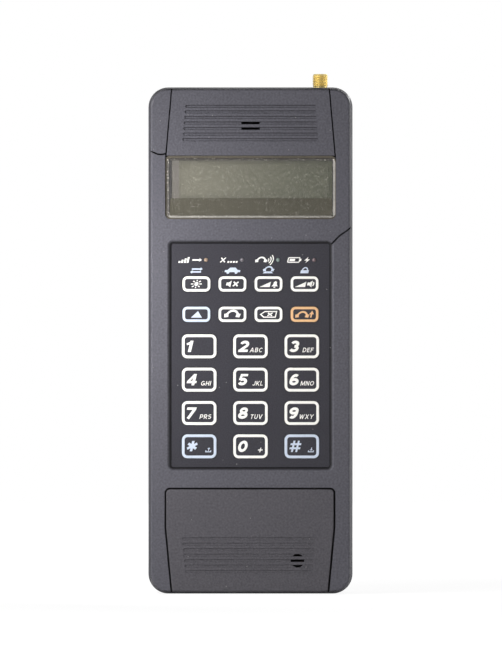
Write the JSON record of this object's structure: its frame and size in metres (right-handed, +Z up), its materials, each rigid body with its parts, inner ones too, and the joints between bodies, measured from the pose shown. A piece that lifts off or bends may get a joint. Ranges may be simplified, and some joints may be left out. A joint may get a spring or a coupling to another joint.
{
  "type": "hand-held cellular phone",
  "caption": "Hand-held cellular phone with sunk keypad, display window, grooved earpiece and mouthpiece panels, threaded antenna stud and slide-on battery pack.",
  "frame": {"origin": "centre of the bounding box at the surface that the phone stands on", "axes": "+Z up along the phone from mouthpiece to earpiece, -Y out of the face with the keys, +Y out of the battery pack, +X to the right as seen from the front"},
  "size_m": [0.0768, 0.0392, 0.1956],
  "materials": {
    "casing": "fine spark texture, dark blue-grey",
    "latch": "fine texture, charcoal",
    "keypad": "fine grained overlay, charcoal",
    "keys": "fine grained key, charcoal",
    "lens": "clear bevelled window",
    "display": "grey-green display glass",
    "light_guide": "diffuse light guide",
    "black_plastic": "plain moulded",
    "lamps": "tinted lamp",
    "rubber_mat": "moulded silicone",
    "rubber_boot": "moulded rubber",
    "board": "solder mask green",
    "chips": "moulded epoxy",
    "tinned_steel": "tinned sheet",
    "screw_steel": "blackened steel",
    "spring_steel": "spring wire",
    "speaker": "pressed steel",
    "microphone": "drawn can",
    "gold": "gold plated brass",
    "insulator": "white insulator",
    "cells": "sleeved cell"
  },
  "bodies": {
    "handset": {"antenna_bracket": "tinned_steel", "antenna_connector": "gold", "antenna_contact": "gold", "antenna_insulator": "insulator", "battery_contacts": "gold", "board_chips": "chips", "board_link": "black_plastic", "case_screws": "screw_steel", "display_frame": "black_plastic", "display_glass": "display", "display_lens": "lens", "display_light": "light_guide", "earpiece_panel": "casing", "earpiece_speaker": "speaker", "front_shell": "casing", "indicator_lights": "lamps", "keypad_mat": "rubber_mat", "keypad_panel": "keypad", "latch_spring": "spring_steel", "lower_cover": "casing", "main_board": "board", "microphone": "microphone", "microphone_boot": "rubber_boot", "radio_board": "board", "rear_shell": "casing", "ringer": "black_plastic", "shield_can": "tinned_steel"},
    "key_0": {"key_0": "keys"},
    "key_1": {"key_1": "keys"},
    "key_2": {"key_2": "keys"},
    "key_3": {"key_3": "keys"},
    "key_4": {"key_4": "keys"},
    "key_5": {"key_5": "keys"},
    "key_6": {"key_6": "keys"},
    "key_7": {"key_7": "keys"},
    "key_8": {"key_8": "keys"},
    "key_9": {"key_9": "keys"},
    "key_clear": {"key_clear": "keys"},
    "key_end": {"key_end": "keys"},
    "key_hash": {"key_hash": "keys"},
    "key_light": {"key_light": "keys"},
    "key_mute": {"key_mute": "keys"},
    "key_ringer": {"key_ringer": "keys"},
    "key_send": {"key_send": "keys"},
    "key_star": {"key_star": "keys"},
    "key_up": {"key_up": "keys"},
    "key_volume": {"key_volume": "keys"},
    "battery_pack": {"battery_case": "casing", "battery_cover": "casing", "battery_cells": "cells", "battery_terminals": "gold"},
    "battery_latch": {"battery_latch": "latch"}
  },
  "joints": [
    {"name": "key_0_press", "type": "slide", "parent": "handset", "child": "key_0", "axis": [0, 1, 0], "range_m": [0, 0.0005], "stiffness_N_per_m": 200, "springref_m": -0.0015},
    {"name": "key_1_press", "type": "slide", "parent": "handset", "child": "key_1", "axis": [0, 1, 0], "range_m": [0, 0.0005], "stiffness_N_per_m": 200, "springref_m": -0.0015},
    {"name": "key_2_press", "type": "slide", "parent": "handset", "child": "key_2", "axis": [0, 1, 0], "range_m": [0, 0.0005], "stiffness_N_per_m": 200, "springref_m": -0.0015},
    {"name": "key_3_press", "type": "slide", "parent": "handset", "child": "key_3", "axis": [0, 1, 0], "range_m": [0, 0.0005], "stiffness_N_per_m": 200, "springref_m": -0.0015},
    {"name": "key_4_press", "type": "slide", "parent": "handset", "child": "key_4", "axis": [0, 1, 0], "range_m": [0, 0.0005], "stiffness_N_per_m": 200, "springref_m": -0.0015},
    {"name": "key_5_press", "type": "slide", "parent": "handset", "child": "key_5", "axis": [0, 1, 0], "range_m": [0, 0.0005], "stiffness_N_per_m": 200, "springref_m": -0.0015},
    {"name": "key_6_press", "type": "slide", "parent": "handset", "child": "key_6", "axis": [0, 1, 0], "range_m": [0, 0.0005], "stiffness_N_per_m": 200, "springref_m": -0.0015},
    {"name": "key_7_press", "type": "slide", "parent": "handset", "child": "key_7", "axis": [0, 1, 0], "range_m": [0, 0.0005], "stiffness_N_per_m": 200, "springref_m": -0.0015},
    {"name": "key_8_press", "type": "slide", "parent": "handset", "child": "key_8", "axis": [0, 1, 0], "range_m": [0, 0.0005], "stiffness_N_per_m": 200, "springref_m": -0.0015},
    {"name": "key_9_press", "type": "slide", "parent": "handset", "child": "key_9", "axis": [0, 1, 0], "range_m": [0, 0.0005], "stiffness_N_per_m": 200, "springref_m": -0.0015},
    {"name": "key_clear_press", "type": "slide", "parent": "handset", "child": "key_clear", "axis": [0, 1, 0], "range_m": [0, 0.0005], "stiffness_N_per_m": 200, "springref_m": -0.0015},
    {"name": "key_end_press", "type": "slide", "parent": "handset", "child": "key_end", "axis": [0, 1, 0], "range_m": [0, 0.0005], "stiffness_N_per_m": 200, "springref_m": -0.0015},
    {"name": "key_hash_press", "type": "slide", "parent": "handset", "child": "key_hash", "axis": [0, 1, 0], "range_m": [0, 0.0005], "stiffness_N_per_m": 200, "springref_m": -0.0015},
    {"name": "key_light_press", "type": "slide", "parent": "handset", "child": "key_light", "axis": [0, 1, 0], "range_m": [0, 0.0005], "stiffness_N_per_m": 200, "springref_m": -0.0015},
    {"name": "key_mute_press", "type": "slide", "parent": "handset", "child": "key_mute", "axis": [0, 1, 0], "range_m": [0, 0.0005], "stiffness_N_per_m": 200, "springref_m": -0.0015},
    {"name": "key_ringer_press", "type": "slide", "parent": "handset", "child": "key_ringer", "axis": [0, 1, 0], "range_m": [0, 0.0005], "stiffness_N_per_m": 200, "springref_m": -0.0015},
    {"name": "key_send_press", "type": "slide", "parent": "handset", "child": "key_send", "axis": [0, 1, 0], "range_m": [0, 0.0005], "stiffness_N_per_m": 200, "springref_m": -0.0015},
    {"name": "key_star_press", "type": "slide", "parent": "handset", "child": "key_star", "axis": [0, 1, 0], "range_m": [0, 0.0005], "stiffness_N_per_m": 200, "springref_m": -0.0015},
    {"name": "key_up_press", "type": "slide", "parent": "handset", "child": "key_up", "axis": [0, 1, 0], "range_m": [0, 0.0005], "stiffness_N_per_m": 200, "springref_m": -0.0015},
    {"name": "key_volume_press", "type": "slide", "parent": "handset", "child": "key_volume", "axis": [0, 1, 0], "range_m": [0, 0.0005], "stiffness_N_per_m": 200, "springref_m": -0.0015},
    {"name": "battery_slide", "type": "slide", "parent": "handset", "child": "battery_pack", "axis": [0, 0, 1], "range_m": [0, 0.012]},
    {"name": "latch_press", "type": "slide", "parent": "handset", "child": "battery_latch", "axis": [0, -1, 0], "range_m": [0, 0.002], "stiffness_N_per_m": 400, "springref_m": -0.0015, "deforming": ["latch_spring"]}
  ]
}
